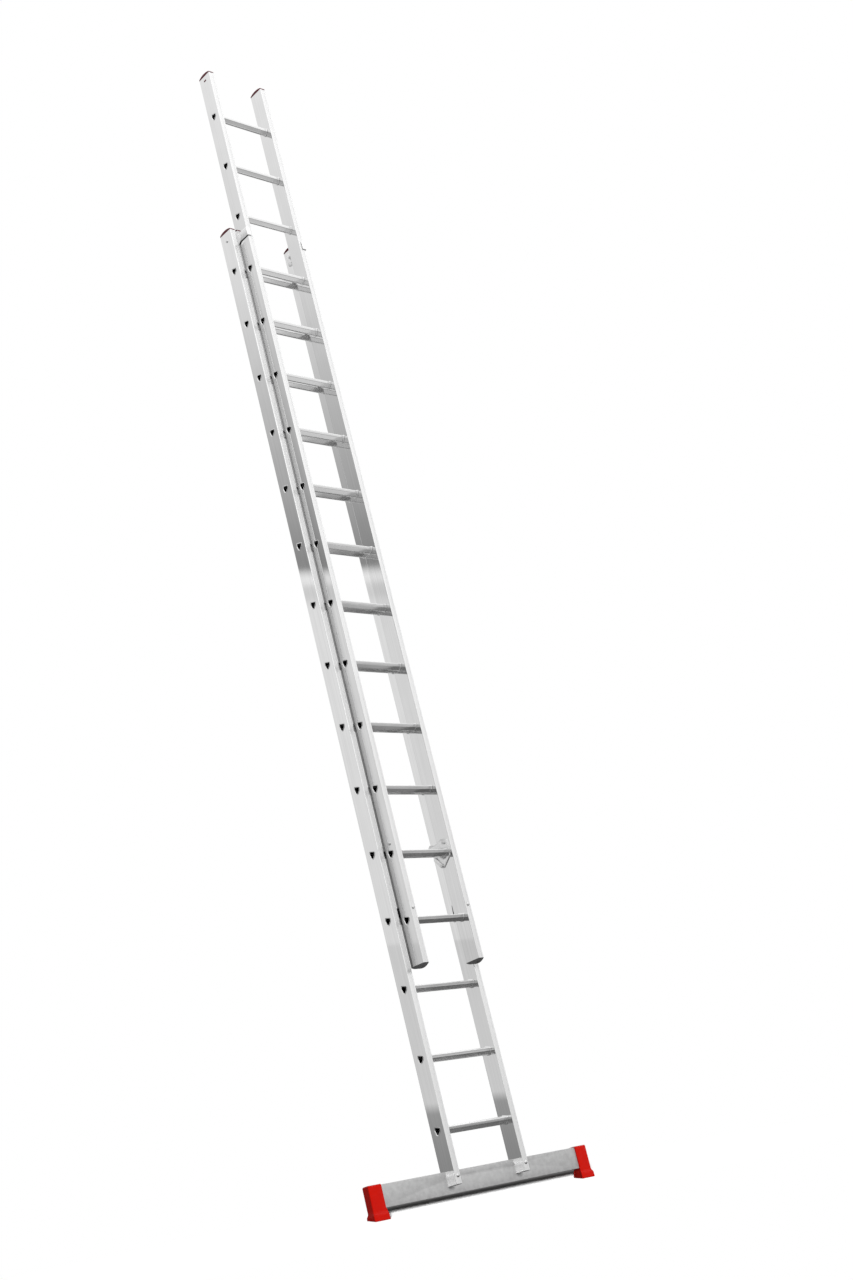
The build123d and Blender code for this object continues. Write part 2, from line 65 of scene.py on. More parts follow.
# Rungs
RUNG_HALF = 15.0
RUNG_TOP_ROUND = 2.5
RUNG_SIDE_ROUND = 6.0
RUNG_KEEL_ROUND = 4.4
RUNG_SIDE = 13.0
RUNG_KEEL = 9.0
RUNG_WALL = 1.8
RUNG_ARC_STEPS = 7
RUNG_EDGE_STEPS = (55, 2, 3, 1, 3, 2)
BEAD_HEIGHT = 3.0
BEAD_LENGTH = 6.0
BEAD_RUN_UP = 2.0
BEAD_STEPS = 9
FLARE_SPREAD = 1.8
FLARE_STEPS = 5
FLARE_LIP = 0.4
FLARE_THINNING = 0.6
TREAD_GROOVES = 7
TREAD_GROOVE_DEPTH = 0.7
TREAD_MARGIN = 3.0
TREAD_FLATNESS = 1e-6

# Stile caps
CAP_ROUND = 3.0
CAP_CROWN = 9.4
CAP_FULLNESS = 2.2
CAP_RIM = 0.4
CAP_EDGE = 0.4
CAP_SKIRT = 4.0
CAP_PROUD = 0.4
PLUG_CROWN = 2.0
FLY_FOOT_CROWN = 13.0
CAP_PLUG_INSET = 2.6
CAP_ARC_STEPS = 7
CAP_EDGE_STEPS = (6, 16, 6, 16)
CAP_CROWN_SHARES = (0.75, 0.5, 0.25, 0.0)

# Snap tabs of the fly's top caps
TAB_DROP = 29.0
TAB_HALF = (8.0, 4.4)
TAB_PROUD = 0.4
TAB_ROUND = 1.2
TAB_EDGE = 0.6
TAB_DEPTH = 4.2
TAB_ARC_STEPS = 5
TAB_EDGE_STEPS = (4, 2, 4, 2)

# Feet
FOOT_FLARE = 5.0
FOOT_FLARE_HEIGHT = 14.0
FOOT_ANKLE = 28.0
FOOT_ROUND = 5.0
FOOT_EDGE = 6.5
FOOT_SOLE_ROUND = 2.4
FOOT_LIP = 1.2
FOOT_END_WALL = 9.0
FOOT_SOLE_SHARE = 0.4
FOOT_ARC_STEPS = 7
FOOT_EDGE_STEPS = (12, 34, 12, 34)
FOOT_END_SHARES = (0.0, 0.3, 0.5, 0.65, 0.78, 0.88, 0.95, 0.985)
FOOT_LEG_SHARES = (0.4, 0.0, -0.4)
SOCKET_ROUND = 0.5

# Fasteners
TURNED_STEPS = 48
HEAD_RADIUS = 7.5
HEAD_HEIGHT = 4.0
HEAD_RIM = 0.8
BOLT_RADIUS = 4.0
BOLT_TIP = 2.0
BOLT_CHAMFER = 1.0
NUT_RADIUS = 7.5
NUT_HEIGHT = 6.5
NUT_CHAMFER = 0.7
NUT_FACE_MARGIN = 0.2
NUT_BORE_CHAMFER = 0.4
NUT_SIDES = 6
PIN_HEAD_RADIUS = 7.0
PIN_HEAD_HEIGHT = 2.5
PIN_RIM = 1.0
RIVET_RADIUS = 2.4
RIVET_HEAD_RADIUS = 5.0
RIVET_HEAD_HEIGHT = 1.5
RIVET_DOME_TOP = 70.0
RIVET_PIT_FLOOR = 0.4
RIVET_PIT_RADII = (1.1, 1.3)

# Rolled edges of sheet and bar pieces
EDGE_STEPS = 3
BAR_EDGE = 1.6
HOOK_EDGE = 0.9
BRACKET_EDGE = 0.7
PAD_EDGE = 1.2

# Meshes: distances in metres at which points are merged, angles in degrees
MERGE_SURFACE = 1e-6
MERGE_SLIVER = 1e-7
MERGE_NODE = 1e-5
SURFACE_CREASE = 35.0
ROLLED_CREASE = 32.0
FLAT_ANGLE = 2.0
EDGE_ANGLE = 40.0

SECTIONS = {"base": 15, "fly": 15}
SIDES = {"left": -1, "right": 1}
FLY_STILES = ("fly_left_stile", "fly_right_stile")
ACROSS = np.array((1.0, 0.0, 0.0))
BACKWARDS = np.array((0.0, 1.0, 0.0))


# Ladder space

UP = np.array(next(j["axis"] for j in frame["joints"] if j["name"] == "fly_slide"))
BACK = np.array((0.0, UP[2], -UP[1]))
LADDER_AXES = np.array(((1.0, 0.0, 0.0), BACK, UP))
LEAN = atan2(UP[1], UP[2])


def to_world(points):
    """Points in ladder space, as rows, turned into the frame's X, Y and Z."""
    return points @ LADDER_AXES


def vertices_of(node):
    """All corner points of a CAD node as rows of X, Y and Z."""
    mesh = frame["nodes"][node].data
    places = np.empty(len(mesh.vertices) * 3)
    mesh.vertices.foreach_get("co", places)
    return places.reshape(-1, 3)


def extent(node):
    """Lowest and highest corner of a CAD node in ladder space."""
    places = vertices_of(node) @ LADDER_AXES.T
    return places.min(0), places.max(0)


def solids_on(node, side):
    """A node's corner points on one side, in ladder space and millimetres, mirrored to the right."""
    places = vertices_of(node) @ LADDER_AXES.T / MM
    return places[places[:, 0] * side > 0] * (side, 1, 1)


# Surfaces


def grid_faces(rows, columns, wrap_rows=False):
    """Quads of a grid whose columns go round and close; its rows close too where they wrap."""
    row = np.arange(rows if wrap_rows else rows - 1)[:, None]
    column = np.arange(columns)[None, :]
    after = (row + 1) % rows
    beside = (column + 1) % columns
    here = row * columns
    there = after * columns
    corners = (here + column, here + beside, there + beside, there + column)
    return np.stack(np.broadcast_arrays(*corners), -1).reshape(-1, 4)


def put_surface(name, points, material, body, replaced, wrap_rows=False):
    """Makes one piece from a grid of points (rows, columns, 3) in X, Y and Z.

    Rows that shrink to a single point become a closed pole when doubles are merged.
    """
    rows, columns = points.shape[:2]
    mesh = bpy.data.meshes.new(name)
    mesh.from_pydata(points.reshape(-1, 3), [], grid_faces(rows, columns, wrap_rows))
    clean_mesh(mesh)
    put_piece(name, mesh, material, body, replaced)


def clean_mesh(mesh):
    """Merges doubled points, turns all faces outwards and shades smooth below the crease angle."""
    work = bmesh.new()
    work.from_mesh(mesh)
    bmesh.ops.remove_doubles(work, verts=work.verts, dist=MERGE_SURFACE)
    bmesh.ops.dissolve_degenerate(work, edges=work.edges, dist=MERGE_SLIVER)
    bmesh.ops.recalc_face_normals(work, faces=work.faces)
    work.to_mesh(mesh)
    work.free()
    mesh.shade_smooth()
    mesh.set_sharp_from_angle(angle=radians(SURFACE_CREASE))


def put_piece(name, mesh, material, body, replaced):
    """Links a finished mesh, gives it its finish and makes it ride on a body in place of CAD nodes."""
    piece = bpy.data.objects.new(name, mesh)
    bpy.context.scene.collection.objects.link(piece)
    mesh.materials.append(material)
    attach(piece, body)
    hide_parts(*replaced)


def rounded_outline(corners, rounds, steps, edge_steps):
    """A polygon with round corners: for each corner an arc, then the straight edge after it.

    corners run anticlockwise. Returns points and outward normals as rows of two.
    """
    corners = np.array(corners, float)
    ahead = np.roll(corners, -1, 0) - corners
    ahead /= np.linalg.norm(ahead, axis=1)[:, None]
    behind = np.roll(ahead, 1, 0)
    points = []
    normals = []
    for corner, came, goes, radius, count in zip(corners, behind, ahead, rounds, edge_steps):
        first = atan2(-came[0], came[1])
        turn = (atan2(-goes[0], goes[1]) - first) % (2 * pi)
        angle = first + turn * np.linspace(0, 1, steps)
        normal = np.stack((np.cos(angle), np.sin(angle)), 1)
        reach = radius * np.tan(turn / 2)
        start = corner - came * reach
        centre = start - radius * normal[0]
        points.append(centre + radius * normal)
        normals.append(normal)
        points.append(np.full((count, 2), np.nan))
        normals.append(np.repeat(normal[-1:], count, 0))
    points = np.concatenate(points)
    fill_straights(points)
    return points, np.concatenate(normals)


def fill_straights(points):
    """Fills the empty rows of a closed outline evenly between their known neighbours."""
    known = ~np.isnan(points[:, 0])
    index = np.arange(len(points))
    period = len(points)
    for axis in range(2):
        points[:, axis] = np.interp(index, index[known], points[known, axis], period=period)


# Rungs


def rung_section():
    """Shield section in millimetres: flat tread on top, upright sides, slanted flanks, round keel."""
    top = RUNG_HALF
    corners = [
        (top, top), (-top, top), (-top, top - RUNG_SIDE), (-RUNG_KEEL / 2, -top),
        (RUNG_KEEL / 2, -top), (top, top - RUNG_SIDE),
    ]
    rounds = [
        RUNG_TOP_ROUND, RUNG_TOP_ROUND, RUNG_SIDE_ROUND, RUNG_KEEL_ROUND,
        RUNG_KEEL_ROUND, RUNG_SIDE_ROUND,
    ]
    return rounded_outline(corners, rounds, RUNG_ARC_STEPS, RUNG_EDGE_STEPS)


def tread_grooves(points):
    """Depth of the tread's grooves at each section point: a cosine wave across the flat top."""
    span = RUNG_HALF - TREAD_MARGIN
    across = np.clip((points[:, 0] + span) / (2 * span), 0, 1)
    wave = 0.5 - 0.5 * np.cos(2 * pi * TREAD_GROOVES * across)
    flat_top = points[:, 1] > RUNG_HALF - TREAD_FLATNESS
    return TREAD_GROOVE_DEPTH * wave * flat_top


def rung_half_stations(inner, outer, end):
    """Stations from the middle to one end: place along X, growth of the section, groove share.

    The bead is half an ellipse against the stile's inner face. Past the outer face the wall
    flares by a quarter of a cosine, rolls over its lip and goes back in as the bore.
    """
    bulge = np.linspace(0, 1, BEAD_STEPS)
    bead = inner - BEAD_LENGTH * (1 - bulge)
    bead_growth = BEAD_HEIGHT * np.sqrt(1 - (2 * bulge - 1) ** 2)
    flare = np.linspace(0, 1, FLARE_STEPS)
    lip = end - outer
    flare_growth = FLARE_SPREAD * (1 - np.cos(flare * pi / 2))
    inwards = flare[::-1]
    bore_flare = (FLARE_SPREAD - FLARE_LIP) * (1 - np.cos(inwards * pi / 2))
    bore_growth = bore_flare - RUNG_WALL * (1 - FLARE_THINNING * inwards)
    start = inner - BEAD_LENGTH - BEAD_RUN_UP
    place = np.concatenate(([0, start], bead, outer + lip * flare, outer + lip * inwards, [0]))
    growth = np.concatenate(([0, 0], bead_growth, flare_growth, bore_growth, [-RUNG_WALL]))
    groove = np.zeros(len(place))
    groove[:2] = 1
    return np.stack((place, growth, groove), 1)


def rung_stations(inner, outer, end):
    """The half stations and their mirror image as one closed round trip: skin, bore, skin again."""
    half = rung_half_stations(inner, outer, end)
    other = half[1:-1][::-1] * (-1, 1, 1)
    return np.concatenate((half, other))


def make_rung(section, number, material):
    """One rung: the shield section carried along X through the stations, grown along its normals."""
    name = f"{section}_rung_{number:02d}"
    low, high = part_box(name)
    stile_low, stile_high = extent(f"{section}_right_stile")
    points, normals = rung_section()
    grooves = tread_grooves(points)
    stations = rung_stations(stile_low[0] / MM, stile_high[0] / MM, high.x / MM)
    growth = stations[:, 1:2] - stations[:, 2:3] * grooves[None, :]
    flat = points[None, :, :] + growth[:, :, None] * normals[None, :, :]
    centre = (low + high) / 2
    along = np.broadcast_to(stations[:, 0:1], growth.shape)
    place = np.stack((along, flat[:, :, 0], flat[:, :, 1]), -1) * MM
    place += np.array((0.0, centre.y, centre.z))
    put_surface(f"{name}_skin", place, material, section, [name], wrap_rows=True)


# Stile caps


def make_cap(node, material, body, end):
    """A moulded cap: a plug in the stile, a flange on its end and a crown arched over its depth.

    The crown's height at depth d is rim + crown * (1 - |d / half depth| ^ fullness). Its edge is
    rolled. end is +1 on a stile's top and -1 on its foot. The base's foot plugs are nearly flat.
    """
    section, side = node.split("_")[:2]
    stile_low, stile_high = extent(f"{section}_{side}_stile")
    low, high = extent(node)
    half = (stile_high - stile_low)[:2] / 2 / MM
    centre = (stile_low + stile_high)[:2] / 2
    low_up = low[2] if end > 0 else -high[2]
    seat = stile_high[2] if end > 0 else -stile_low[2]
    plug = (low_up - seat) / MM
    rise = CAP_CROWN if end > 0 else FLY_FOOT_CROWN
    skirt = CAP_SKIRT if end > 0 else 0.0
    if section == "base" and end < 0:
        rise = PLUG_CROWN
        half[1] = (high - low)[1] / 2 / MM
        centre[1] = (low[1] + high[1]) / 2
    wide, deep = half
    corners = [(wide, deep), (-wide, deep), (-wide, -deep), (wide, -deep)]
    outline, normals = rounded_outline(corners, [CAP_ROUND] * 4, CAP_ARC_STEPS, CAP_EDGE_STEPS)

    def crown(back):
        return CAP_RIM + rise * (1 - np.abs(back / deep) ** CAP_FULLNESS)

    inner = outline - CAP_PLUG_INSET * normals
    rings = [(inner * 0, plug), (inner, plug), (inner, 0.0), (outline, 0.0), (outline, -skirt)]
    rim = crown(outline[:, 1])
    outline = outline + CAP_PROUD * normals
    rings.append((outline, -skirt))
    rings.append((outline, rim - CAP_EDGE))
    for turn in np.radians((30, 60, 90)):
        rolled = outline - CAP_EDGE * (1 - np.cos(turn)) * normals
        rings.append((rolled, rim - CAP_EDGE * (1 - np.sin(turn))))
    top = outline - CAP_EDGE * normals
    for share in CAP_CROWN_SHARES:
        rings.append((top * share, crown(top[:, 1] * share)))
    places = [np.column_stack((flat, np.broadcast_to(up, len(outline)))) for flat, up in rings]
    place = np.array(places) * MM
    place[:, :, :2] += centre
    place[:, :, 2] = end * (place[:, :, 2] + seat)
    put_surface(f"{node}_moulding", to_world(place), material, body, [node])


def make_tab(side_name, material):
    """The snap tab of a fly top cap: a small round-cornered block flush with the stile's outer face.

    Its outline in back and up is pushed out from inside the stile, then rolled over its edge.
    """
    side = SIDES[side_name]
    low, high = extent("fly_right_stile")
    half_back, half_up = TAB_HALF
    corners = [
        (half_back, half_up), (-half_back, half_up), (-half_back, -half_up), (half_back, -half_up),
    ]
    outline, normals = rounded_outline(corners, [TAB_ROUND] * 4, TAB_ARC_STEPS, TAB_EDGE_STEPS)
    rings = [(outline * 0, -TAB_DEPTH), (outline, -TAB_DEPTH)]
    for turn in np.radians((0, 30, 60, 90)):
        rolled = outline - TAB_EDGE * (1 - np.cos(turn)) * normals
        rings.append((rolled, -TAB_EDGE * (1 - np.sin(turn))))
    rings.append((outline * 0, 0.0))
    places = [np.column_stack((np.full(len(flat), out), flat)) for flat, out in rings]
    outer = high[0] / MM + TAB_PROUD
    place = np.array(places) + (outer, (low[1] + high[1]) / 2 / MM, high[2] / MM - TAB_DROP)
    name = f"fly_{side_name}_top_cap"
    put_surface(
        f"{name}_tab", to_world(place * (side, 1, 1) * MM), material, "fly", [name]
    )


# Feet


def foot_section(deep, top):
    """Round-cornered leg section in back and up, on a flat sole at zero: points and normals."""
    corners = [(-deep, 0.0), (deep, 0.0), (deep, top), (-deep, top)]
    rounds = [FOOT_SOLE_ROUND, FOOT_SOLE_ROUND, FOOT_EDGE, FOOT_EDGE]
    return rounded_outline(corners, rounds, FOOT_ARC_STEPS, FOOT_EDGE_STEPS)


def foot_rings(section, normals, wide):
    """Rings over the leg as (share across, flat section): round outer end, leg, rolled inner lip.

    The end's round shrinks below the ankle, down to the sole's share of it.
    """
    rings = []
    middle = (section.min(0) + section.max(0)) / 2
    risen = np.clip(section[:, 1:] / FOOT_ANKLE, 0, 1)
    low = FOOT_SOLE_SHARE + (1 - FOOT_SOLE_SHARE) * risen
    end = section - FOOT_ROUND * low * normals
    for shrink in FOOT_END_SHARES:
        rings.append((1.0, middle + shrink * (end - middle)))
    for turn in np.linspace(pi / 2, 0, 8):
        share = (wide - FOOT_ROUND * (1 - np.sin(turn))) / wide
        rings.append((share, section - FOOT_ROUND * (1 - np.cos(turn)) * low * normals))
    for share in FOOT_LEG_SHARES:
        rings.append((share, section))
    for turn in np.linspace(0, pi / 2, 4):
        share = (FOOT_LIP * (1 - np.sin(turn)) - wide) / wide
        rings.append((share, section - FOOT_LIP * (1 - np.cos(turn)) * normals))
    return rings


def make_foot(side_name, material):
    """A moulded foot: the leg section carried across, flared to a level sole, with the bar's socket.

    Below the ankle a share f = t * t * (3 - 2 * t) grows from 0 to 1. Back and across spread by
    flare * f, and the sole is sheared level by back * tan(lean). After the inner lip the rings
    turn into the socket's rectangle and close on its end.
    """
    side = SIDES[side_name]
    low, high = (corner / MM for corner in extent("right_foot"))
    centre = (low[0] + high[0]) / 2
    wide = (high[0] - low[0]) / 2 - FOOT_FLARE
    deep = (high[1] - low[1]) / 2 - FOOT_FLARE
    section, normals = foot_section(deep, high[2])
    share, flat = (np.array(part) for part in zip(*foot_rings(section, normals, wide)))
    back, up = flat[:, :, 0], flat[:, :, 1]
    step = np.clip((FOOT_ANKLE - up) / (FOOT_ANKLE - FOOT_FLARE_HEIGHT), 0, 1)
    spread = FOOT_FLARE * step * step * (3 - 2 * step)
    back = back * (deep + spread) / deep
    across = centre + share[:, None] * (wide + spread)
    up = up + back * tan(LEAN) * (1 - np.clip(up / FOOT_FLARE_HEIGHT, 0, 1))
    skin = np.stack((across, back, up), -1)
    place = np.concatenate((skin, socket_rings(centre - wide, high[0] - FOOT_END_WALL)))
    name = f"{side_name}_foot"
    place = to_world(place * (side, 1, 1) * MM)
    put_surface(f"{name}_moulding", place, material, "base", [name])


def socket_rings(mouth, end):
    """The bar's rectangle from the foot's mouth to the socket's end, closed there on its middle."""
    low, high = (corner / MM for corner in extent("stabiliser_bar"))
    corners = [(low[1], low[2]), (high[1], low[2]), (high[1], high[2]), (low[1], high[2])]
    outline, _ = rounded_outline(corners, [SOCKET_ROUND] * 4, FOOT_ARC_STEPS, FOOT_EDGE_STEPS)
    middle = np.broadcast_to((outline.min(0) + outline.max(0)) / 2, outline.shape)
    rings = [(mouth, outline), (end, outline), (end, middle)]
    return np.array([np.column_stack((np.full(len(flat), across), flat)) for across, flat in rings])


# Fasteners


def bolt_profile(reach):
    """Low domed head over its seat, then the shank down to a chamfered tip at reach below it."""
    turn = np.linspace(pi / 2, 0, 9)
    dome = np.stack((HEAD_RADIUS * np.cos(turn), HEAD_RIM + (HEAD_HEIGHT - HEAD_RIM) * np.sin(turn)), 1)
    shank = [
        (HEAD_RADIUS, 0), (BOLT_RADIUS, 0), (BOLT_RADIUS, BOLT_CHAMFER - reach),
        (BOLT_RADIUS - BOLT_CHAMFER, -reach), (0, -reach),
    ]
    return np.concatenate((dome, shank))


def nut_profile(_reach):
    """Ring of a nut on its seat, chamfered at both ends; the polygon cuts its sides flat."""
    flat = NUT_RADIUS * cos(pi / NUT_SIDES) + NUT_FACE_MARGIN
    top = NUT_HEIGHT
    return np.array([
        (BOLT_RADIUS, 0), (flat, 0), (NUT_RADIUS, NUT_CHAMFER), (NUT_RADIUS, top - NUT_CHAMFER),
        (flat, top), (BOLT_RADIUS + NUT_BORE_CHAMFER, top), (BOLT_RADIUS, top - NUT_BORE_CHAMFER),
    ])


def pin_profile(reach):
    """Flat head of a catch pin with a rolled rim, then its shank."""
    top = PIN_HEAD_HEIGHT
    turn = np.linspace(pi / 2, 0, 5)
    centre = (PIN_HEAD_RADIUS - PIN_RIM, top - PIN_RIM)
    rim = centre + PIN_RIM * np.stack((np.cos(turn), np.sin(turn)), 1)
    shank = [(PIN_HEAD_RADIUS, 0), (BOLT_RADIUS, 0), (BOLT_RADIUS, -reach), (0, -reach)]
    return np.concatenate(([(0, top)], rim, shank))


def rivet_profile(reach):
    """Low head of a blind rivet with the small pit of its drawn mandrel, then its shank."""
    top = RIVET_HEAD_HEIGHT
    turn = np.linspace(radians(RIVET_DOME_TOP), 0, 6)
    dome = np.stack((RIVET_HEAD_RADIUS * np.cos(turn), top * np.sin(turn)), 1)
    pit_floor = RIVET_PIT_FLOOR * top
    narrow, wide = RIVET_PIT_RADII
    pit = [(0, pit_floor), (narrow, pit_floor), (wide, top)]
    shank = [(RIVET_RADIUS, 0), (RIVET_RADIUS, -reach), (0, -reach)]
    return np.concatenate((pit, dome, shank))


def turned_piece(profile, seat, axis, polygon):
    """Grid of a profile turned about an axis; a polygon cuts radii to flat / cos(angle off its flat)."""
    angle = np.linspace(0, 2 * pi, TURNED_STEPS, endpoint=False)
    radius = np.repeat(profile[:, :1], TURNED_STEPS, 1)
    if polygon:
        half = pi / polygon
        off_flat = (angle + half) % (2 * half) - half
        radius = np.minimum(radius, NUT_RADIUS * cos(half) / np.cos(off_flat))
    beside = np.roll(axis, 1)
    above = np.cross(axis, beside)
    round_way = np.cos(angle)[:, None] * beside + np.sin(angle)[:, None] * above
    return seat + radius[:, :, None] * round_way + profile[:, 1, None, None] * axis


def make_fastener(name, node, body, points, axis, height, profile, polygon, side, material):
    """One fastener where its CAD solid is: its head's top is the furthest point along its axis."""
    along = points @ axis
    middle = (points.min(0) + points.max(0)) / 2
    top = along.max() - height
    seat = middle + axis * (top - middle @ axis)
    rows = profile(top - along.min())
    place = turned_piece(rows, seat, axis, polygon) * (side, 1, 1) * MM
    closed = rows[0, 0] > 0
    put_surface(name, to_world(place), material, body, [node], wrap_rows=closed)


def make_fasteners(material):
    """Every bolt, nut, rivet and pin of both sides, each in the place of its CAD solid."""
    bracket = "guide_bracket_bolts"
    bracket_nuts = "guide_bracket_nuts"
    for side_name, side in SIDES.items():
        pair = solids_on(bracket, side)
        upper = pair[:, 2] > (pair[:, 2].min() + pair[:, 2].max()) / 2
        bracket_nut = solids_on(bracket_nuts, side)
        bar_bolt = solids_on("stabiliser_bolts", side)
        bar_nut = solids_on("stabiliser_nuts", side)
        hook = solids_on("hook_bolts", side)
        pad = solids_on("guide_pad_bolts", side)
        pin = solids_on("catch_pins", side)
        nut_end = NUT_HEIGHT + BOLT_TIP
        rows = [
            ("bracket_bolt", bracket, "base", pair[upper], ACROSS, HEAD_HEIGHT, bolt_profile, 0),
            ("bracket_rivet", bracket, "base", pair[~upper], -ACROSS, RIVET_HEAD_HEIGHT, rivet_profile, 0),
            ("bracket_nut", bracket_nuts, "base", bracket_nut, -ACROSS, NUT_HEIGHT, nut_profile, NUT_SIDES),
            ("bar_bolt", "stabiliser_bolts", "base", bar_bolt, -BACKWARDS, HEAD_HEIGHT, bolt_profile, 0),
            ("bar_nut", "stabiliser_nuts", "base", bar_nut, BACKWARDS, NUT_HEIGHT, nut_profile, NUT_SIDES),
            ("hook_bolt", "hook_bolts", "fly", hook, ACROSS, HEAD_HEIGHT, bolt_profile, 0),
            ("hook_nut", "hook_bolts", "fly", hook, -ACROSS, nut_end, nut_profile, NUT_SIDES),
            ("pad_bolt", "guide_pad_bolts", "fly", pad, -BACKWARDS, HEAD_HEIGHT, bolt_profile, 0),
            ("catch_pin", "catch_pins", "fly", pin, -ACROSS, PIN_HEAD_HEIGHT, pin_profile, 0),
        ]
        for name, *row in rows:
            make_fastener(f"{side_name}_{name}", *row, side, material)


# Sheet and bar pieces


def make_rolled(node, width, material, body):
    """A piece on a CAD node's own shape with its sharp edges rolled to a radius.

    Doubled points are merged and flat faces joined first, so that only true edges are rolled.
    """
    mesh = frame["nodes"][node].data.copy()
    mesh.materials.clear()
    work = bmesh.new()
    work.from_mesh(mesh)
    bmesh.ops.remove_doubles(work, verts=work.verts, dist=MERGE_NODE)
    flat = radians(FLAT_ANGLE)
    bmesh.ops.dissolve_limit(work, angle_limit=flat, verts=work.verts, edges=work.edges)
    edges = [edge for edge in work.edges if edge.calc_face_angle(0) > radians(EDGE_ANGLE)]
    bmesh.ops.bevel(
        work, geom=edges, offset=width * MM, segments=EDGE_STEPS, profile=0.5, affect="EDGES",
        clamp_overlap=True,
    )
    work.to_mesh(mesh)
    work.free()
    mesh.shade_smooth()
    mesh.set_sharp_from_angle(angle=radians(ROLLED_CREASE))
    put_piece(f"{node}_rolled", mesh, material, body, [node])


def make_sheet_pieces(finishes):
    """The bar, brackets, hooks, catches and pads with rolled edges."""
    make_rolled("stabiliser_bar", BAR_EDGE, finishes["bar_aluminium"], "base")
    for side in SIDES:
        bracket = f"{side}_guide_bracket"
        make_rolled(bracket, BRACKET_EDGE, finishes["bracket_aluminium"], "base")
        make_rolled(f"{side}_hook", HOOK_EDGE, finishes["hook_steel"], "fly")
        catch = f"{side}_hook_catch"
        make_rolled(catch, HOOK_EDGE, finishes["hook_steel"], f"{side}_catch")
        make_rolled(f"{side}_guide_pad", PAD_EDGE, finishes["pad_black"], "fly")


# Finishes

# Painted shade on the fly's outer faces: a darker band along the rear edge, standing in for the shaded gap to the
# base and its dark reflection in the face. Start and full share of the depth from the rear, its tone, the products
# of place and normal across that tell an outer face, and the metres of its upper end
GAP_SHADE_PART = (0.75, 0.12)
GAP_SHADE_TONE = 0.40
GAP_SHADE_OUTWARD = (0.05, 0.10)
GAP_SHADE_END = 0.01
# Noise in its middle range, and how square a face looks to the front or the back to count as ribbed
NOISE_MIDDLE = (0.3, 0.7)
RIBBED_FACING = (0.6, 0.9)
RIBBED_STRETCH = 0.9
RIBBED_TURN = 0.25
# Depth of fine relief in metres, then mottling, grain and the spread of roughness on plastic
LINE_RELIEF = 0.0002
GRAIN_RELIEF = 0.0003
MOTTLE_SCALE = 35.0
GRAIN_SCALE = 2200.0
WORN_SPREAD = 0.06


def shade(name):
    """A new material with its Principled shader: returns the material, its nodes tree and the shader."""
    material = bpy.data.materials.new(name)
    material.use_nodes = True
    tree = material.node_tree
    return material, tree, tree.nodes["Principled BSDF"]


def blend(tree, share, under, over):
    """Mixes two tones by a share; each tone is a socket or a grey."""
    node = tree.nodes.new("ShaderNodeMix")
    node.data_type = "RGBA"
    tree.links.new(share, node.inputs["Factor"])
    for socket, tone in (("A", under), ("B", over)):
        if isinstance(tone, float):
            node.inputs[socket].default_value = (tone, tone, tone, 1.0)
        else:
            tree.links.new(tone, node.inputs[socket])
    return node.outputs["Result"]


def smooth_share(tree, value, low, high):
    """A share that goes smoothly from 0 at the low value to 1 at the high one."""
    node = tree.nodes.new("ShaderNodeMapRange")
    node.interpolation_type = "SMOOTHSTEP"
    node.inputs["From Min"].default_value = low
    node.inputs["From Max"].default_value = high
    tree.links.new(value, node.inputs["Value"])
    return node.outputs["Result"]


def facing(tree, vector, towards):
    """How far a vector points towards a direction: their dot product."""
    node = tree.nodes.new("ShaderNodeVectorMath")
    node.operation = "DOT_PRODUCT"
    node.inputs[1].default_value = Vector(towards).normalized()
    tree.links.new(vector, node.inputs[0])
    return node.outputs["Value"]


def make_lines_group():
    """Lengthwise lines of a drawn extrusion and soft handling marks, in ladder space.

    Lines is noise stretched along the stile. Marks is slow cloud noise. Ends is 1 on faces that
    look to the front or the back, where the drawn ribs are coarse, and 0 on the sides.
    """
    group = bpy.data.node_groups.new("extrusion_lines", "ShaderNodeTree")
    face = group.interface
    face.new_socket("Fineness", in_out="INPUT", socket_type="NodeSocketFloat").default_value = 350.0
    face.new_socket("Stretch", in_out="INPUT", socket_type="NodeSocketFloat").default_value = 0.004
    face.new_socket("Mark Scale", in_out="INPUT", socket_type="NodeSocketFloat").default_value = 9.0
    face.new_socket("Lines", in_out="OUTPUT", socket_type="NodeSocketFloat")
    face.new_socket("Marks", in_out="OUTPUT", socket_type="NodeSocketFloat")
    face.new_socket("Ends", in_out="OUTPUT", socket_type="NodeSocketFloat")
    start = group.nodes.new("NodeGroupInput")
    finish = group.nodes.new("NodeGroupOutput")
    place = group.nodes.new("ShaderNodeTexCoord")
    lean = group.nodes.new("ShaderNodeMapping")
    lean.inputs["Rotation"].default_value = (LEAN, 0.0, 0.0)
    pull = group.nodes.new("ShaderNodeCombineXYZ")
    pull.inputs["X"].default_value = 1.0
    pull.inputs["Y"].default_value = 1.0
    squeeze = group.nodes.new("ShaderNodeVectorMath")
    squeeze.operation = "MULTIPLY"
    lines = group.nodes.new("ShaderNodeTexNoise")
    lines.inputs["Detail"].default_value = 3.0
    marks = group.nodes.new("ShaderNodeTexNoise")
    marks.inputs["Detail"].default_value = 4.0
    either = group.nodes.new("ShaderNodeMath")
    either.operation = "ABSOLUTE"
    link = group.links.new
    link(place.outputs["Object"], lean.inputs["Vector"])
    link(start.outputs["Stretch"], pull.inputs["Z"])
    link(lean.outputs["Vector"], squeeze.inputs[0])
    link(pull.outputs["Vector"], squeeze.inputs[1])
    link(squeeze.outputs["Vector"], lines.inputs["Vector"])
    link(start.outputs["Fineness"], lines.inputs["Scale"])
    link(start.outputs["Mark Scale"], marks.inputs["Scale"])
    link(lean.outputs["Vector"], marks.inputs["Vector"])
    link(facing(group, place.outputs["Normal"], BACK), either.inputs[0])
    link(lines.outputs["Fac"], finish.inputs["Lines"])
    link(marks.outputs["Fac"], finish.inputs["Marks"])
    link(smooth_share(group, either.outputs[0], *RIBBED_FACING), finish.inputs["Ends"])
    return group


